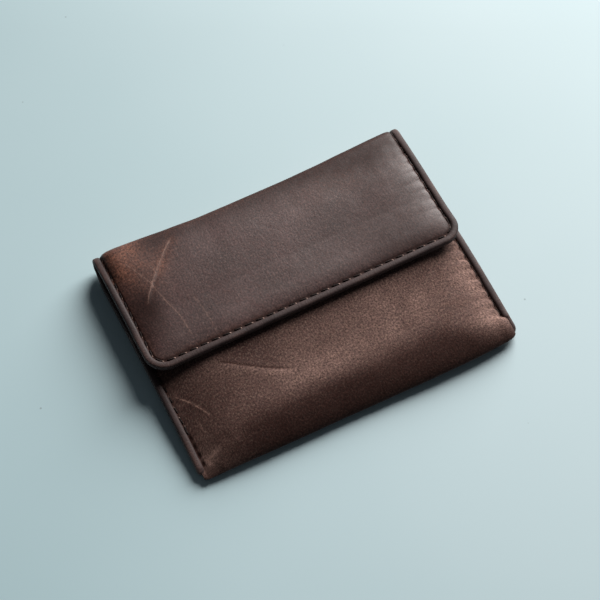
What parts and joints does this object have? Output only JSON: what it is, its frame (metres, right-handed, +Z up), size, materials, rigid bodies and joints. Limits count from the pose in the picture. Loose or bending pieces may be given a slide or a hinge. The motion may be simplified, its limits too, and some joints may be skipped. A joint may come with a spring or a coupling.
{
  "type": "flap wallet",
  "caption": "Small soft leather card wallet: a puffed pouch with bound, stitched edges, a card slot and a round-cornered flap that folds over a hidden magnetic closure.",
  "frame": {"origin": "middle of the closed wallet's outline on the table, at the height of the pouch's flat underside", "axes": "+X along the flap's crease to the right, +Y from the bottom fold towards the crease, +Z up out of the table"},
  "size_m": [0.105, 0.078, 0.0111],
  "materials": {
    "flap_leather": "smooth waxed pull-up, satin sheen",
    "front_leather": "buffed pull-up with a fine speckled grain",
    "binding": "smooth rolled strip, satin",
    "lining": "fine plain weave, matt",
    "thread": "waxed polyester, slight gloss",
    "board": "matt bonded board",
    "magnet": "nickel plated"
  },
  "bodies": {
    "pouch": {"pouch_leather": "front_leather", "pouch_lining": "lining", "left_pouch_binding": "binding", "right_pouch_binding": "binding", "left_pouch_thread": "thread", "right_pouch_thread": "thread", "mouth_binding": "binding", "mouth_thread": "thread", "card_slot_panel": "front_leather", "card_slot_thread": "thread", "front_stiffener": "board", "pouch_magnet": "magnet"},
    "spine": {"spine_leather": "flap_leather", "spine_lining": "lining", "left_spine_binding": "binding", "right_spine_binding": "binding", "left_spine_thread": "thread", "right_spine_thread": "thread"},
    "flap": {"flap_leather": "flap_leather", "flap_lining": "lining", "flap_binding": "binding", "flap_thread": "thread", "flap_stiffener": "board", "flap_magnet": "magnet"}
  },
  "joints": [
    {"name": "spine_fold", "type": "hinge", "parent": "pouch", "child": "spine", "pos_m": [0, 0.039, 0], "axis": [-1, 0, 0], "range_deg": [0, 90]},
    {"name": "flap_fold", "type": "hinge", "parent": "spine", "child": "flap", "pos_m": [0, 0.039, 0.0106], "axis": [-1, 0, 0], "range_deg": [0, 90]}
  ]
}
